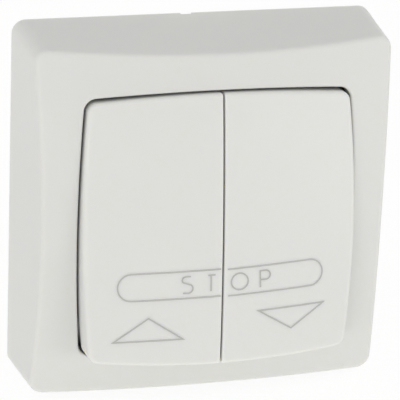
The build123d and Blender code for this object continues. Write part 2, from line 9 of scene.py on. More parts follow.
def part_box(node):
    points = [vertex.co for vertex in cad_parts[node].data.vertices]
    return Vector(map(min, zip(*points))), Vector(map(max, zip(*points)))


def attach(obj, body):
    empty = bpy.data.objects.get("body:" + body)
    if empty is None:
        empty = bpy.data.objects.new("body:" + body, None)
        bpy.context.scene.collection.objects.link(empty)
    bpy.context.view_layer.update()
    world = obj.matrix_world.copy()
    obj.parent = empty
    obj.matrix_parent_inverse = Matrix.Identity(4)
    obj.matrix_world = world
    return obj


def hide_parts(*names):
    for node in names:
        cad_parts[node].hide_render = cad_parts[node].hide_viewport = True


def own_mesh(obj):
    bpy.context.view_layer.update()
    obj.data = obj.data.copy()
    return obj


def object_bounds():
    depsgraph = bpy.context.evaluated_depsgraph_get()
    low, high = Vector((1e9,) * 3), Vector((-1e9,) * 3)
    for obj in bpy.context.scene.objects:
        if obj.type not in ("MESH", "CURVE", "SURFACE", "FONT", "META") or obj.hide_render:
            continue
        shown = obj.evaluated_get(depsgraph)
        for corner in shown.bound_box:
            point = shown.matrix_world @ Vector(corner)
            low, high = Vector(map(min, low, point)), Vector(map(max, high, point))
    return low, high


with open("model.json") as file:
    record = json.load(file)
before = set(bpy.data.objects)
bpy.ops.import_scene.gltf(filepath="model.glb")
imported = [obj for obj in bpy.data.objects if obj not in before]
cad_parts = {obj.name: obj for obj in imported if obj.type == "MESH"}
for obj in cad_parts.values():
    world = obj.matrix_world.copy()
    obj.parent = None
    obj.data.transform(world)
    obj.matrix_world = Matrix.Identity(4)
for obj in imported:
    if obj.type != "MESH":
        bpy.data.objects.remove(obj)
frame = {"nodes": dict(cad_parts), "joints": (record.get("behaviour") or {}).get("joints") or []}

bl_info = {
    "name": "Roller Shutter Switch",
    "version": (1, 0, 0),
    "blender": (4, 5, 0),
    "location": "View3D > Sidebar > Switch",
    "description": "Finishes, printed marks, screw threads and springs of a roller shutter switch",
    "category": "Object",
}

MM = 0.001  # a millimetre in the scene's metres
WHITE = (1, 1, 1, 1)

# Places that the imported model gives
joint_of = {joint["name"]: joint for joint in frame["joints"]}
KEY_JOINT = joint_of["down_key_tilt"]
PIVOT = Vector(KEY_JOINT["pos_m"])
REST_TILT = radians(KEY_JOINT["range_deg"][1])
ALONG = Vector((0, sin(REST_TILT), cos(REST_TILT)))  # up a key's face as it rests
OUTWARD = Vector((0, -cos(REST_TILT), sin(REST_TILT)))  # out of a key's face as it rests
ACROSS = Vector((1, 0, 0))
CAD_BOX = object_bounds()
FLOOR_Z = CAD_BOX[0].z

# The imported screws, in millimetres: where they stand across and up the switch, the radius of
# the shank, and how much of the tip has no thread
SCREWS = {
    "support_screws": {"places": [(0, 30), (0, -30)], "shank": 1.25, "bare_tip": 1.2},
    "terminal_screws": {
        "places": [(-14, 14.6), (0, 14.6), (14, 14.6)],
        "shank": 1.4,
        "bare_tip": 0.2,
    },
}


# Sizes and colours that a user would change
class StageSettings(bpy.types.PropertyGroup):
    azimuth: FloatProperty(
        name="Azimuth",
        description="Camera's turn to the left of the front",
        default=radians(16.29),
        subtype="ANGLE",
    )
    elevation: FloatProperty(
        name="Elevation",
        description="Camera's height over the horizon",
        default=radians(21.09),
        subtype="ANGLE",
    )
    roll: FloatProperty(
        name="Roll",
        description="Camera's turn about its own line of sight",
        default=radians(2.46),
        subtype="ANGLE",
    )
    distance: FloatProperty(
        name="Distance", description="From the target to the camera", default=0.5381, unit="LENGTH"
    )
    target: FloatVectorProperty(
        name="Target",
        description="Point that the camera looks at",
        default=(-0.00133, -0.015, 0.00251),
        subtype="TRANSLATION",
    )
    lens: FloatProperty(
        name="Lens", description="Camera's focal length", default=225.35, unit="CAMERA"
    )
    world_level: FloatProperty(
        name="World Level", description="Brightness of the plain surroundings", default=0.705
    )
    left_share: FloatProperty(
        name="Left Light",
        description="What the left light adds to a face turned to it, as a share of full light",
        default=0.14,
    )
    right_share: FloatProperty(
        name="Right Light",
        description="What the right light adds to a face turned to it, as a share of full light",
        default=0.11,
    )
    floor_colour: StringProperty(
        name="Floor Colour", description="Colour of the paper, as sRGB hex", default="f6f6f4"
    )
    floor_glow: FloatProperty(
        name="Floor Glow",
        description="Light that the table under the paper sends up",
        default=0.27,
    )
    floor_shadow: FloatProperty(
        name="Floor Shadow",
        description="How much of the shadow the camera sees on the white floor",
        default=0.15,
        subtype="FACTOR",
        min=0,
        max=1,
    )


class PlasticSettings(bpy.types.PropertyGroup):
    cover_colour: StringProperty(
        name="Cover", description="Colour of the outer cover, as sRGB hex", default="dfdfdc"
    )
    key_colour: StringProperty(
        name="Keys", description="Colour of both keys, as sRGB hex", default="e1e1de"
    )
    box_colour: StringProperty(
        name="Box", description="Colour of the box on the wall, as sRGB hex", default="dfdfd9"
    )
    lever_colour: StringProperty(
        name="Levers", description="Colour of the rocking levers, as sRGB hex", default="d2d0c2"
    )
    housing_colour: StringProperty(
        name="Mechanism Housing",
        description="Colour of the mechanism's base, as sRGB hex",
        default="6e7072",
    )
    mechanism_cover_colour: StringProperty(
        name="Mechanism Cover",
        description="Colour of the mechanism's top, as sRGB hex",
        default="c6c6c0",
    )
    plunger_colour: StringProperty(
        name="Plungers", description="Colour of both plungers, as sRGB hex", default="d9cfae"
    )
    grain: FloatProperty(
        name="Grain",
        description="Spacing of the mould's grain",
        default=0.35 * MM,
        unit="LENGTH",
        precision=5,
    )
    depth: FloatProperty(
        name="Light Depth",
        description="How far light gets into the cover and the keys",
        default=1 * MM,
        unit="LENGTH",
        precision=5,
    )


class MetalSettings(bpy.types.PropertyGroup):
    zinc_colour: StringProperty(
        name="Zinc", description="Colour of the zinc plating, as sRGB hex", default="bbbebf"
    )
    steel_colour: StringProperty(
        name="Steel", description="Colour of the pin and springs, as sRGB hex", default="b9bab9"
    )
    brass_colour: StringProperty(
        name="Brass", description="Colour of the terminals, as sRGB hex", default="d9b96a"
    )
    copper_colour: StringProperty(
        name="Copper", description="Colour of the contact bridges, as sRGB hex", default="cf8f63"
    )
    silver_colour: StringProperty(
        name="Silver", description="Colour of the contacts' faces, as sRGB hex", default="e2e1dc"
    )


class MarkSettings(bpy.types.PropertyGroup):
    ink_colour: StringProperty(
        name="Ink", description="Colour of the printed marks, as sRGB hex", default="b2b1ac"
    )
    line_width: FloatProperty(
        name="Line Width",
        description="Width of the printed lines",
        default=0.3 * MM,
        unit="LENGTH",
        precision=5,
    )
    film: FloatProperty(
        name="Film",
        description="Thickness of the printed ink",
        default=0.02 * MM,
        unit="LENGTH",
        precision=6,
    )
    step: FloatProperty(
        name="Step",
        description="Spacing of the points on a straight line, so that it follows the key",
        default=1 * MM,
        unit="LENGTH",
    )


class ThreadSettings(bpy.types.PropertyGroup):
    pitch: FloatProperty(
        name="Pitch",
        description="From one turn of a thread to the next",
        default=0.7 * MM,
        unit="LENGTH",
        precision=5,
    )
    depth: FloatProperty(
        name="Depth",
        description="Height of a thread's ridge",
        default=0.18 * MM,
        unit="LENGTH",
        precision=5,
    )
    support_length: FloatProperty(
        name="Support Screw Thread",
        description="Threaded length of the support screws",
        default=7.2 * MM,
        unit="LENGTH",
        precision=5,
    )
    terminal_length: FloatProperty(
        name="Terminal Screw Thread",
        description="Threaded length of the clamp screws",
        default=3.9 * MM,
        unit="LENGTH",
        precision=5,
    )


class SpringSettings(bpy.types.PropertyGroup):
    wire: FloatProperty(
        name="Wire",
        description="Thickness of the spring wire",
        default=0.45 * MM,
        unit="LENGTH",
        precision=5,
    )
    turns: FloatProperty(name="Turns", description="Turns of a return spring", default=4)


# Helpers
def hex_colour(text):
    """Linear RGBA of an sRGB hex colour."""
    channels = [int(text[i : i + 2], 16) / 255 for i in (0, 2, 4)]
    return [c / 12.92 if c <= 0.04045 else ((c + 0.055) / 1.055) ** 2.4 for c in channels] + [1]


def tinted(text, factor):
    """Linear RGBA of an sRGB hex colour that is made lighter or darker by a factor."""
    return [min(1, c * factor) for c in hex_colour(text)[:3]] + [1]


def node(tree, kind, settings=(), links=()):
    """Adds a node.

    Settings and links go by the name or number of a socket, and settings by a property's name too.
    """
    made = tree.nodes.new(kind)
    for key, value in dict(settings).items():
        if isinstance(key, int) or key in made.inputs:
            made.inputs[key].default_value = value
        else:
            setattr(made, key, value)
    for key, source in dict(links).items():
        tree.links.new(source, made.inputs[key])
    return made


def new_material(name):
    """Empty node material and its tree."""
    material = bpy.data.materials.new(name)
    material.use_nodes = True
    material.node_tree.nodes.clear()
    return material, material.node_tree


def finish_material(tree, shader):
    """Ends a material in its shader."""
    node(tree, "ShaderNodeOutputMaterial", links={"Surface": shader.outputs[0]})


def dress(names, material):
    """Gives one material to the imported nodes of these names."""
    for name in names:
        data = frame["nodes"][name].data
        data.materials.clear()
        data.materials.append(material)


# Plastics
NOISE_LOW, NOISE_HIGH = 0.3, 0.7  # nearly all of a noise lies between these
PLASTIC_IOR = 1.5
FLOW_SPACING = 22 * MM  # of the faint tints that the melt leaves as it fills the mould
FLOW_TINT = 0.012  # what they take from the colour or add to it, as a share
GRAIN_HEIGHT = 0.012 * MM
PLASTIC_SPREAD = 0.05  # how much the roughness differs from one grain to the next
LIGHT_DEPTHS = (1.0, 0.97, 0.8)  # how far red, green and blue get in, by the depth of the light


def moulded(name, colour, grain, roughness, depth=0.0):
    """Injection moulded plastic: an even colour and the fine grain that an eroded mould leaves.

    The real grain is too fine for the render, so its spacing is drawn several times as coarse. A
    pale plastic lets light in by a depth, blue least, which warms its gaps and softens its edges.
    """
    material, tree = new_material(name)
    place = node(tree, "ShaderNodeTexCoord").outputs["Object"]
    flow = node(
        tree, "ShaderNodeTexNoise", {"Scale": 1 / FLOW_SPACING, "Detail": 2}, {"Vector": place}
    )
    mixed = node(
        tree,
        "ShaderNodeMix",
        {"data_type": "RGBA", 6: tinted(colour, 1 - FLOW_TINT), 7: tinted(colour, 1 + FLOW_TINT)},
        {0: flow.outputs[0]},
    )
    pits = node(
        tree,
        "ShaderNodeTexNoise",
        {"Scale": 1 / grain, "Detail": 3, "Roughness": 0.6},
        {"Vector": place},
    )
    worn = node(
        tree,
        "ShaderNodeMapRange",
        {
            "From Min": NOISE_LOW,
            "From Max": NOISE_HIGH,
            "To Min": roughness - PLASTIC_SPREAD,
            "To Max": roughness + PLASTIC_SPREAD,
        },
        {"Value": pits.outputs[0]},
    )
    bump = node(
        tree,
        "ShaderNodeBump",
        {"Strength": 0.5, "Distance": GRAIN_HEIGHT},
        {"Height": pits.outputs[0]},
    )
    shader = node(
        tree,
        "ShaderNodeBsdfPrincipled",
        {
            "IOR": PLASTIC_IOR,
            "Subsurface Weight": 1.0 if depth else 0.0,
            "Subsurface Radius": LIGHT_DEPTHS,
            "Subsurface Scale": depth,
        },
        {"Base Color": mixed.outputs[2], "Roughness": worn.outputs[0], "Normal": bump.outputs[0]},
    )
    finish_material(tree, shader)
    return material


class SWITCH_OT_plastics(bpy.types.Operator):
    """Gives the moulded pieces their plastics"""

    bl_idname = "switch.plastics"
    bl_label = "Moulded Plastics"

    def execute(self, context):
        sizes = context.scene.switch_plastics
        grain, depth = sizes.grain, sizes.depth
        # ABS from a finely eroded mould: a dull, even sheen without sharp highlights
        cover = moulded(
            "cover_abs_fine_eroded", sizes.cover_colour, grain, roughness=0.48, depth=depth
        )
        dress(["cover_frame"], cover)
        # The same ABS from a smoother mould: satin, so that the curve of a key shows
        key = moulded("key_abs_satin", sizes.key_colour, grain, roughness=0.42, depth=depth)
        dress(["up_key", "down_key"], key)
        # ABS that nobody sees once it is mounted: plain and dull
        box = moulded("box_abs_plain", sizes.box_colour, grain, roughness=0.55)
        dress(["back_box"], box)
        # Acetal: slippery, with a slight waxy gloss
        lever = moulded("lever_acetal_plain", sizes.lever_colour, grain, roughness=0.4)
        dress(["up_lever", "down_lever"], lever)
        # Pressed phenolic: matt and dark
        housing = moulded("housing_phenolic_matt", sizes.housing_colour, grain, roughness=0.6)
        dress(["mechanism_housing"], housing)
        # Polyamide with its own off-white colour: half dull
        lid = moulded(
            "mechanism_cover_polyamide", sizes.mechanism_cover_colour, grain, roughness=0.5
        )
        dress(["mechanism_cover"], lid)
        # Uncoloured polyamide: yellowish and smooth from its narrow slides
        plunger = moulded("plunger_natural_polyamide", sizes.plunger_colour, grain, roughness=0.35)
        dress(["up_plunger", "down_plunger"], plunger)
        return {"FINISHED"}


# Metals
LINE_STRETCH = 12  # length of the surface's lines, by their spacing
LINE_HEIGHT = 0.01 * MM
METAL_SPREAD = 0.08  # how much the roughness differs from one line to the next


def plated(name, colour, roughness, spacing):
    """Sheet, bar or wire: the lines of rolling, stamping or drawing stretch its highlights.

    The real lines are too fine for the render, so they are drawn several times as coarse.
    """
    material, tree = new_material(name)
    place = node(tree, "ShaderNodeTexCoord").outputs["Object"]
    stretched = node(tree, "ShaderNodeMapping", {"Scale": (1, 1, LINE_STRETCH)}, {"Vector": place})
    lines = node(
        tree,
        "ShaderNodeTexNoise",
        {"Scale": 1 / spacing, "Detail": 4, "Roughness": 0.7},
        {"Vector": stretched.outputs[0]},
    )
    worn = node(
        tree,
        "ShaderNodeMapRange",
        {
            "From Min": NOISE_LOW,
            "From Max": NOISE_HIGH,
            "To Min": roughness - METAL_SPREAD,
            "To Max": roughness + METAL_SPREAD,
        },
        {"Value": lines.outputs[0]},
    )
    bump = node(
        tree,
        "ShaderNodeBump",
        {"Strength": 0.3, "Distance": LINE_HEIGHT},
        {"Height": lines.outputs[0]},
    )
    shader = node(
        tree,
        "ShaderNodeBsdfPrincipled",
        {"Base Color": hex_colour(colour), "Metallic": 1},
        {"Roughness": worn.outputs[0], "Normal": bump.outputs[0]},
    )
    finish_material(tree, shader)
    return material


class SWITCH_OT_metals(bpy.types.Operator):
    """Gives the stamped, turned and wound pieces their metals"""

    bl_idname = "switch.metals"
    bl_label = "Metals"

    def execute(self, context):
        colours = context.scene.switch_metals
        # Rolled sheet under a zinc plating: greyish, with soft reflections
        zinc = plated("zinc_plated_sheet", colours.zinc_colour, roughness=0.38, spacing=0.6 * MM)
        dress(["support_frame", "line_clamp", "up_clamp", "down_clamp"], zinc)
        # Turned steel under the same plating: brighter, with finer lines
        screw = plated("zinc_plated_screw", colours.zinc_colour, roughness=0.3, spacing=0.3 * MM)
        dress(["support_screws", "terminal_screws"], screw)
        # Ground pin and drawn wire: the clearest reflections of all
        steel = plated("ground_steel", colours.steel_colour, roughness=0.22, spacing=0.2 * MM)
        dress(["pivot_pin", "up_return_spring", "down_return_spring"], steel)
        # Brass strip as it leaves the stamp: yellow and fairly bright
        brass = plated("stamped_brass", colours.brass_colour, roughness=0.3, spacing=0.5 * MM)
        dress(["common_terminal", "up_terminal", "down_terminal", "housing_rivets"], brass)
        # Copper strip as it leaves the stamp: reddish and fairly bright
        copper = plated("stamped_copper", colours.copper_colour, roughness=0.3, spacing=0.5 * MM)
        dress(["up_bridge", "down_bridge"], copper)
        # Silver faced rivets, headed smooth: nearly white
        silver = plated("silver_contact", colours.silver_colour, roughness=0.25, spacing=0.3 * MM)
        dress(["fixed_contacts", "up_bridge_contacts", "down_bridge_contacts"], silver)
        return {"FINISHED"}


# Printed marks, drawn in the plan of the keys: X across and Y along, in millimetres from the pivot
TOUCHING = 1e-4  # two points that are nearer than this are one
SHARPEST = 0.25  # keeps the mitre of a sharp corner within four times half the line's width
LETTER_HALF = 1.83  # half the height of a letter
UP_TRIANGLE = [(-23.6, -23.55), (-8.65, -23.55), (-16.1, -18.45)]
DOWN_TRIANGLE = [(7.75, -18.75), (15.15, -23.65), (22.6, -18.75)]


def stretch(start, end, step):
    """Points of a straight line, both ends included."""
    start, end = Vector(start), Vector(end)
    count = max(1, round((end - start).length / step))
    return [start.lerp(end, i / count) for i in range(count + 1)]


def bend(middle, radii, first, last, count):
    """Points of a part of an ellipse, between two angles in degrees."""
    angles = [radians(first + (last - first) * i / count) for i in range(count + 1)]
    return [Vector((middle[0] + radii[0] * cos(a), middle[1] + radii[1] * sin(a))) for a in angles]


def chain(*runs):
    """One line from several, without the doubled points where they meet."""
    points = []
    for run in runs:
        points += [p for p in run if not points or (p - points[-1]).length > TOUCHING]
    return points


def ring(corners, step):
    """Closed line through these corners, whose last point isn't its first."""
    ends = corners[1:] + corners[:1]
    return chain(*[stretch(a, b, step) for a, b in zip(corners, ends)])[:-1]


def half_field(middle, half, cap, end, start, step):
    """Half of the long field's outline: from the split to its round cap and back.

    It starts on the field's upper line with start 1 and on its lower one with -1. Its cap and its
    end are places across the keys.
    """
    near, far = middle + start * half, middle - start * half
    return chain(
        stretch((end, near), (cap, near), step),
        bend((cap, middle), (half, half), 90 * start, 90 * start + 180, count=28),
        stretch((cap, far), (end, far), step),
    )


def band(points, width, closed):
    """Corners and faces of a flat band along a line, mitred where it turns."""
    corners = []
    count = len(points)
    for i, here in enumerate(points):
        going = points[(i + 1) % count] - here if closed or i < count - 1 else here - points[i - 1]
        coming = here - points[i - 1] if closed or i else going
        going, coming = going.normalized(), coming.normalized()
        middle = (going + coming).normalized()
        side = Vector((-middle.y, middle.x))
        reach = width / 2 / max(SHARPEST, middle.dot(going))
        corners += [here - side * reach, here + side * reach]
    last = count if closed else count - 1
    faces = []
    for i in range(last):
        j = (i + 1) % count
        faces.append((2 * i, 2 * j, 2 * j + 1, 2 * i + 1))
    return corners, faces


def turned(lines, height, degrees):
    """The lines, turned about the point at this height on the keys' middle line."""
    middle, turn = Vector((0, height)), Matrix.Rotation(radians(degrees), 2)
    return [([middle + turn @ (p - middle) for p in points], closed) for points, closed in lines]


def up_marks(step, width):
    """Lines of the left key: the up triangle, the left half of the field and letters S and T."""
    middle = -11.48
    field = half_field(middle, half=2.98, cap=-19.68, end=-0.54, start=1, step=step)
    triangle = ring(UP_TRIANGLE, step)
    top, bottom = middle + LETTER_HALF, middle - LETTER_HALF
    s_x, t_x = -7.8, -2.7
    upper_x, upper_radii = s_x - 0.3, (0.85, 0.75)
    lower_x, lower_radii = s_x + 0.1, (1.05, 1)
    letter_s = chain(
        stretch((s_x + 0.7, top), (upper_x, top), step),
        bend((upper_x, top - upper_radii[1]), upper_radii, 90, 225, count=12),
        bend((lower_x, bottom + lower_radii[1]), lower_radii, 50, -90, count=12),
        stretch((lower_x, bottom), (s_x - 0.95, bottom), step),
    )
    bar = stretch((t_x - 0.65, top), (t_x + 0.95, top), step)
    stem = stretch((t_x, top - width / 2), (t_x, bottom + 0.1), step)
    lines = [(field, False), (triangle, True), (letter_s, False), (bar, False), (stem, False)]
    return turned(lines, middle, degrees=0.6)


def down_marks(step, width):
    """Lines of the right key: the right half of the field, letters O and P, the down triangle."""
    middle = -11.66
    field = half_field(middle, half=2.95, cap=19.43, end=1, start=-1, step=step)
    triangle = ring(DOWN_TRIANGLE, step)
    top, bottom = middle + LETTER_HALF, middle - LETTER_HALF
    o_x, p_x = 3.63, 8.2
    letter_o = bend((o_x, middle), (1.87, LETTER_HALF), 0, 360, count=36)[:-1]
    stem = stretch((p_x, bottom), (p_x, top + width / 2), step)
    bowl_start, bowl_x, bowl_radius = p_x + width / 2, p_x + 1.25, 1
    bowl = chain(
        stretch((bowl_start, top), (bowl_x, top), step),
        bend((bowl_x, top - bowl_radius), (bowl_radius, bowl_radius), 90, -90, count=14),
        stretch((bowl_x, top - 2 * bowl_radius), (bowl_start, top - 2 * bowl_radius), step),
    )
    lines = [(field, False), (triangle, True), (letter_o, True), (stem, False), (bowl, False)]
    return turned(lines, middle, degrees=2)


RAY_REACH = 0.1  # metres in which a ray looks for the key's face
WELD = 1e-6  # metres within which corners become one


def lay_print_tree(material):
    """Geometry Nodes that lay flat bands on a key's face and give them an ink film's thickness."""
    tree = bpy.data.node_groups.new("lay_print_on_key", "GeometryNodeTree")
    sockets = tree.interface
    sockets.new_socket("Geometry", in_out="INPUT", socket_type="NodeSocketGeometry")
    sockets.new_socket("Key", in_out="INPUT", socket_type="NodeSocketObject")
    sockets.new_socket("Outward", in_out="INPUT", socket_type="NodeSocketVector")
    sockets.new_socket("Film", in_out="INPUT", socket_type="NodeSocketFloat")
    sockets.new_socket("Geometry", in_out="OUTPUT", socket_type="NodeSocketGeometry")
    given = node(tree, "NodeGroupInput").outputs
    key = node(
        tree, "GeometryNodeObjectInfo", {"transform_space": "RELATIVE"}, {"Object": given["Key"]}
    )
    inward = node(
        tree, "ShaderNodeVectorMath", {"operation": "SCALE", "Scale": -1}, {0: given["Outward"]}
    )
    struck = node(
        tree,
        "GeometryNodeRaycast",
        {"Ray Length": RAY_REACH},
        {"Target Geometry": key.outputs["Geometry"], "Ray Direction": inward.outputs[0]},
    )
    # The film starts as deep in the key as it then stands out of it, so that no edge lifts off
    sink = node(
        tree,
        "ShaderNodeVectorMath",
        {"operation": "SCALE"},
        {0: inward.outputs[0], "Scale": given["Film"]},
    )
    laid = node(
        tree,
        "GeometryNodeSetPosition",
        links={
            "Geometry": given["Geometry"],
            "Selection": struck.outputs["Is Hit"],
            "Position": struck.outputs["Hit Position"],
            "Offset": sink.outputs[0],
        },
    )
    lift = node(
        tree, "ShaderNodeVectorMath", {"operation": "SCALE", "Scale": -2}, {0: sink.outputs[0]}
    )
    raised = node(
        tree,
        "GeometryNodeExtrudeMesh",
        {"mode": "FACES", "Individual": False},
        {"Mesh": laid.outputs[0], "Offset": lift.outputs[0]},
    )
    under = node(tree, "GeometryNodeFlipFaces", links={"Mesh": laid.outputs[0]})
    joined = node(tree, "GeometryNodeJoinGeometry")
    tree.links.new(raised.outputs["Mesh"], joined.inputs[0])
    tree.links.new(under.outputs[0], joined.inputs[0])
    closed = node(
        tree, "GeometryNodeMergeByDistance", {"Distance": WELD}, {"Geometry": joined.outputs[0]}
    )
    real = node(tree, "GeometryNodeRealizeInstances", links={"Geometry": closed.outputs[0]})
    inked = node(
        tree, "GeometryNodeSetMaterial", {"Material": material}, {"Geometry": real.outputs[0]}
    )
    node(tree, "NodeGroupOutput", links={0: inked.outputs[0]})
    return tree


def plain_mesh(maker, tree, inputs, name):
    """What a tree makes of the maker's mesh, as a plain object of its own at the origin.

    The inputs go by the names of the tree's sockets.
    """
    modifier = maker.modifiers.new("make", "NODES")
    modifier.node_group = tree
    for item in tree.interface.items_tree:
        if item.in_out == "INPUT" and item.name in inputs:
            modifier[item.identifier] = inputs[item.name]
    graph = bpy.context.evaluated_depsgraph_get()
    data = bpy.data.meshes.new_from_object(maker.evaluated_get(graph), depsgraph=graph)
    data.name = name
    finish = data.materials[-1]
    data.materials.clear()  # of the maker's empty slot too
    data.materials.append(finish)
    bpy.data.objects.remove(maker)
    piece = bpy.data.objects.new(name, data)
    bpy.context.scene.collection.objects.link(piece)
    return piece


def maker_of(name, corners, faces):
    """Object with the mesh that a tree starts from."""
    data = bpy.data.meshes.new(name + "_plan")
    data.from_pydata(corners, [], faces)
    maker = bpy.data.objects.new(name + "_plan", data)
    bpy.context.scene.collection.objects.link(maker)
    return maker


def printed_piece(name, lines, key, tree, sizes):
    """Lays the bands of these lines on a key."""
    lift = 20  # clear of the key's face, in millimetres
    corners, faces = [], []
    for points, closed in lines:
        flat, quads = band(points, sizes.line_width / MM, closed)
        faces += [tuple(i + len(corners) for i in quad) for quad in quads]
        corners += [PIVOT + (ACROSS * p.x + ALONG * p.y + OUTWARD * lift) * MM for p in flat]
    inputs = {"Key": frame["nodes"][key], "Outward": OUTWARD, "Film": sizes.film}
    return plain_mesh(maker_of(name, corners, faces), tree, inputs, name)


INK_PATCHES = 1.5 * MM  # spacing of the spots where the ink lies thinner
INK_THINNEST = 1.12  # how much lighter it is there


def pad_print_ink(colour):
    """Pad printed ink: a thin matt film whose density varies a little."""
    material, tree = new_material("pad_print_grey_ink")
    place = node(tree, "ShaderNodeTexCoord").outputs["Object"]
    density = node(
        tree, "ShaderNodeTexNoise", {"Scale": 1 / INK_PATCHES, "Detail": 2}, {"Vector": place}
    )
    mixed = node(
        tree,
        "ShaderNodeMix",
        {"data_type": "RGBA", 6: hex_colour(colour), 7: tinted(colour, INK_THINNEST)},
        {0: density.outputs[0]},
    )
    shader = node(
        tree,
        "ShaderNodeBsdfPrincipled",
        {"Roughness": 0.6, "IOR": PLASTIC_IOR},
        {"Base Color": mixed.outputs[2]},
    )
    finish_material(tree, shader)
    return material


class SWITCH_OT_marks(bpy.types.Operator):
    """Prints the triangles and the STOP field on the keys"""

    bl_idname = "switch.marks"
    bl_label = "Printed Marks"

    def execute(self, context):
        sizes = context.scene.switch_marks
        tree = lay_print_tree(pad_print_ink(sizes.ink_colour))
        step, width = sizes.step / MM, sizes.line_width / MM
        for side, lines in (("up", up_marks(step, width)), ("down", down_marks(step, width))):
            piece = printed_piece(side + "_key_print", lines, side + "_key", tree, sizes)
            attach(piece, side + "_rocker")
        return {"FINISHED"}


# Screw threads and springs
TURN_POINTS = 28  # points in one turn of a winding
THREAD_SIDES, WIRE_SIDES = 6, 12  # sides of the bar that is wound


def winding_tree(name, material, bar_sides):
    """Geometry Nodes that wind a round bar towards the user, from each vertex of their mesh."""
    tree = bpy.data.node_groups.new(name, "GeometryNodeTree")
    tree.interface.new_socket("Geometry", in_out="INPUT", socket_type="NodeSocketGeometry")
    for size in ("Radius", "Length", "Turns", "Bar Radius"):
        tree.interface.new_socket(size, in_out="INPUT", socket_type="NodeSocketFloat")
    tree.interface.new_socket("Geometry", in_out="OUTPUT", socket_type="NodeSocketGeometry")
    given = node(tree, "NodeGroupInput").outputs
    helix = node(
        tree,
        "GeometryNodeCurveSpiral",
        {"Resolution": TURN_POINTS, "Reverse": True},
        {
            "Rotations": given["Turns"],
            "Start Radius": given["Radius"],
            "End Radius": given["Radius"],
            "Height": given["Length"],
        },
    )
    bar = node(
        tree,
        "GeometryNodeCurvePrimitiveCircle",
        {"Resolution": bar_sides},
        {"Radius": given["Bar Radius"]},
    )
    swept = node(
        tree,
        "GeometryNodeCurveToMesh",
        {"Fill Caps": True},
        {"Curve": helix.outputs[0], "Profile Curve": bar.outputs[0]},
    )
    lying = node(
        tree, "GeometryNodeTransform", {"Rotation": (pi / 2, 0, 0)}, {"Geometry": swept.outputs[0]}
    )
    placed = node(
        tree,
        "GeometryNodeInstanceOnPoints",
        links={"Points": given["Geometry"], "Instance": lying.outputs[0]},
    )
    real = node(tree, "GeometryNodeRealizeInstances", links={"Geometry": placed.outputs[0]})
    metal = node(
        tree, "GeometryNodeSetMaterial", {"Material": material}, {"Geometry": real.outputs[0]}
    )
    node(tree, "NodeGroupOutput", links={0: metal.outputs[0]})
    return tree


class SWITCH_OT_threads(bpy.types.Operator):
    """Winds the threads on the support screws and the clamp screws"""

    bl_idname = "switch.threads"
    bl_label = "Screw Threads"

    def execute(self, context):
        sizes = context.scene.switch_threads
        metal = frame["nodes"]["support_screws"].data.materials[0]
        tree = winding_tree("wind_thread_on_screw", metal, THREAD_SIDES)
        for screws, length in (
            ("support_screws", sizes.support_length),
            ("terminal_screws", sizes.terminal_length),
        ):
            screw = SCREWS[screws]
            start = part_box(screws)[1].y - screw["bare_tip"] * MM
            starts = [(x * MM, start, z * MM) for x, z in screw["places"]]
            inputs = {
                "Radius": screw["shank"] * MM,
                "Length": length,
                "Turns": length / sizes.pitch,
                "Bar Radius": sizes.depth,
            }
            name = screws[:-1] + "_threads"
            piece = plain_mesh(maker_of(name, starts, []), tree, inputs, name)
            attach(piece, "base")
        return {"FINISHED"}


class SWITCH_OT_springs(bpy.types.Operator):
    """Winds the return springs, which their plungers press together"""

    bl_idname = "switch.springs"
    bl_label = "Return Springs"

    def execute(self, context):
        sizes = context.scene.switch_springs
        metal = frame["nodes"]["up_return_spring"].data.materials[0]
        tree = winding_tree("wind_return_spring", metal, WIRE_SIDES)
        for side in ("up", "down"):
            packed = side + "_return_spring"
            low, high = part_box(packed)
            middle, size = (low + high) / 2, high - low
            start = (middle.x, high.y - sizes.wire / 2, middle.z)
            inputs = {
                "Radius": (size.x - sizes.wire) / 2,
                "Length": size.y - sizes.wire,
                "Turns": sizes.turns,
                "Bar Radius": sizes.wire / 2,
            }
            name = side + "_spring_coil"
            piece = plain_mesh(maker_of(name, [start], []), tree, inputs, name)
            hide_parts(packed)
            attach(piece, "base")
            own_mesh(piece)
        return {"FINISHED"}


# Stage
SENSOR_WIDTH = 36  # millimetres
NEAREST, FARTHEST = 0.01, 100  # metres from the camera
LIGHT_SIZE = (0.4, 0.14)  # width and height in metres
LIGHT_DISTANCE = 1  # metres
LIGHT_ELEVATION = radians(2)
LEFT_LIGHT_AZIMUTH, RIGHT_LIGHT_AZIMUTH = radians(36), radians(-38)
FLOOR_REACH = 3  # metres from the middle to each side


def look_from(azimuth, elevation):
    """Direction from the object to a viewer."""
    return Vector(
        (-sin(azimuth) * cos(elevation), -cos(azimuth) * cos(elevation), sin(elevation))
    )


def facing(back):
    """Turn of a camera or a lamp that looks against this direction."""
    return (-back).to_track_quat("-Z", "Y").to_matrix().to_4x4()


def place_camera(sizes):
    """Camera at the photograph's viewing angle."""
    back = look_from(sizes.azimuth, sizes.elevation)
    data = bpy.data.cameras.new("camera")
    data.lens, data.sensor_width = sizes.lens, SENSOR_WIDTH
    data.clip_start, data.clip_end = NEAREST, FARTHEST
    camera = bpy.data.objects.new("camera", data)
    place = Matrix.Translation(Vector(sizes.target) + back * sizes.distance)
    camera.matrix_world = place @ facing(back) @ Matrix.Rotation(sizes.roll, 4, "Z")
    bpy.context.scene.collection.objects.link(camera)
    bpy.context.scene.camera = camera


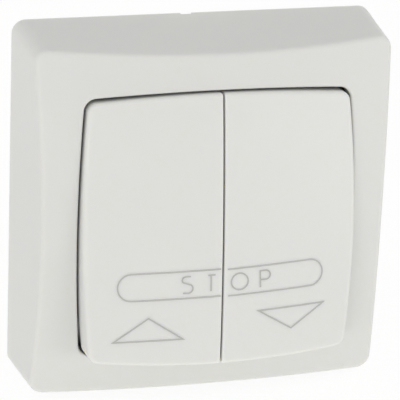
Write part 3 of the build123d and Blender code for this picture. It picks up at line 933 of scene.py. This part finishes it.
def soft_light(name, share, azimuth):
    """Flat lamp that faces the object and adds this share of full light to a face turned to it."""
    data = bpy.data.lights.new(name, "AREA")
    data.shape, data.size, data.size_y = "RECTANGLE", *LIGHT_SIZE
    data.energy = share * (pi * LIGHT_DISTANCE) ** 2
    lamp = bpy.data.objects.new(name, data)
    back = look_from(azimuth, LIGHT_ELEVATION)
    lamp.matrix_world = Matrix.Translation(back * LIGHT_DISTANCE) @ facing(back)
    bpy.context.scene.collection.objects.link(lamp)


def seen_directly(tree):
    """1 for rays that the camera, a mirror or glass sends out, and 0 for diffuse ones."""
    path = node(tree, "ShaderNodeLightPath").outputs
    first = node(
        tree,
        "ShaderNodeMath",
        {"operation": "ADD"},
        {0: path["Is Camera Ray"], 1: path["Is Glossy Ray"]},
    )
    return node(
        tree,
        "ShaderNodeMath",
        {"operation": "ADD", "use_clamp": True},
        {0: first.outputs[0], 1: path["Is Transmission Ray"]},
    ).outputs[0]


def white_world(level):
    """World that lights the object plainly, at this level, and looks white."""
    world = bpy.data.worlds.new("plain_white")
    bpy.context.scene.world = world
    world.use_nodes = True
    tree = world.node_tree
    tree.nodes.clear()
    strength = node(
        tree, "ShaderNodeMapRange", {"To Min": level, "To Max": 1}, {"Value": seen_directly(tree)}
    )
    light = node(
        tree, "ShaderNodeBackground", {"Color": WHITE}, {"Strength": strength.outputs[0]}
    )
    node(tree, "ShaderNodeOutputWorld", links={"Surface": light.outputs[0]})


def paper_floor(colour, glow, shadow):
    """White paper on a light table: it looks nearly white, with a part of the object's shadow."""
    material, tree = new_material("white_paper_floor")
    paper = node(tree, "ShaderNodeBsdfDiffuse", {"Color": hex_colour(colour)})
    table = node(tree, "ShaderNodeEmission", {"Color": WHITE, "Strength": glow})
    lit = node(tree, "ShaderNodeAddShader", links={0: paper.outputs[0], 1: table.outputs[0]})
    white = node(tree, "ShaderNodeEmission", {"Color": WHITE, "Strength": 1})
    share = node(
        tree, "ShaderNodeMath", {"operation": "MULTIPLY", 1: 1 - shadow}, {0: seen_directly(tree)}
    )
    mixed = node(
        tree,
        "ShaderNodeMixShader",
        links={0: share.outputs[0], 1: lit.outputs[0], 2: white.outputs[0]},
    )
    finish_material(tree, mixed)
    return material


class SWITCH_OT_stage(bpy.types.Operator):
    """Sets the camera, the lights, the white surroundings and the floor"""

    bl_idname = "switch.stage"
    bl_label = "Stage"

    def execute(self, context):
        sizes = context.scene.switch_stage
        context.scene.view_settings.view_transform = "Standard"
        place_camera(sizes)
        white_world(sizes.world_level)
        soft_light("left_light", sizes.left_share, LEFT_LIGHT_AZIMUTH)
        soft_light("right_light", sizes.right_share, RIGHT_LIGHT_AZIMUTH)
        data = bpy.data.meshes.new("floor")
        signs = ((-1, -1), (1, -1), (1, 1), (-1, 1))
        rim = [(x * FLOOR_REACH, y * FLOOR_REACH, FLOOR_Z) for x, y in signs]
        data.from_pydata(rim, [], [(0, 1, 2, 3)])
        data.materials.append(paper_floor(sizes.floor_colour, sizes.floor_glow, sizes.floor_shadow))
        floor = bpy.data.objects.new("floor", data)
        context.scene.collection.objects.link(floor)
        return {"FINISHED"}


class SWITCH_PT_panel(bpy.types.Panel):
    """Lists the steps that dress the switch, with their sizes and colours"""

    bl_label = "Roller Shutter Switch"
    bl_space_type = "VIEW_3D"
    bl_region_type = "UI"
    bl_category = "Switch"

    def draw(self, context):
        for step in STEPS:
            self.layout.operator(step.bl_idname)
        for group in SETTINGS:
            sizes = getattr(context.scene, group)
            for name in sizes.bl_rna.properties.keys():
                if name not in ("rna_type", "name"):
                    self.layout.prop(sizes, name)


SETTINGS = {
    "switch_stage": StageSettings,
    "switch_plastics": PlasticSettings,
    "switch_metals": MetalSettings,
    "switch_marks": MarkSettings,
    "switch_threads": ThreadSettings,
    "switch_springs": SpringSettings,
}
STEPS = (
    SWITCH_OT_stage,
    SWITCH_OT_plastics,
    SWITCH_OT_metals,
    SWITCH_OT_marks,
    SWITCH_OT_threads,
    SWITCH_OT_springs,
)


def register():
    for name, group in SETTINGS.items():
        bpy.utils.register_class(group)
        setattr(bpy.types.Scene, name, PointerProperty(type=group))
    for made in (*STEPS, SWITCH_PT_panel):
        bpy.utils.register_class(made)


def unregister():
    for made in (SWITCH_PT_panel, *STEPS):
        bpy.utils.unregister_class(made)
    for name, group in SETTINGS.items():
        delattr(bpy.types.Scene, name)
        bpy.utils.unregister_class(group)


def main():
    register()
    bpy.ops.switch.stage()
    bpy.ops.switch.plastics()
    bpy.ops.switch.metals()
    bpy.ops.switch.marks()
    bpy.ops.switch.threads()
    bpy.ops.switch.springs()


if __name__ == "__main__":
    main()
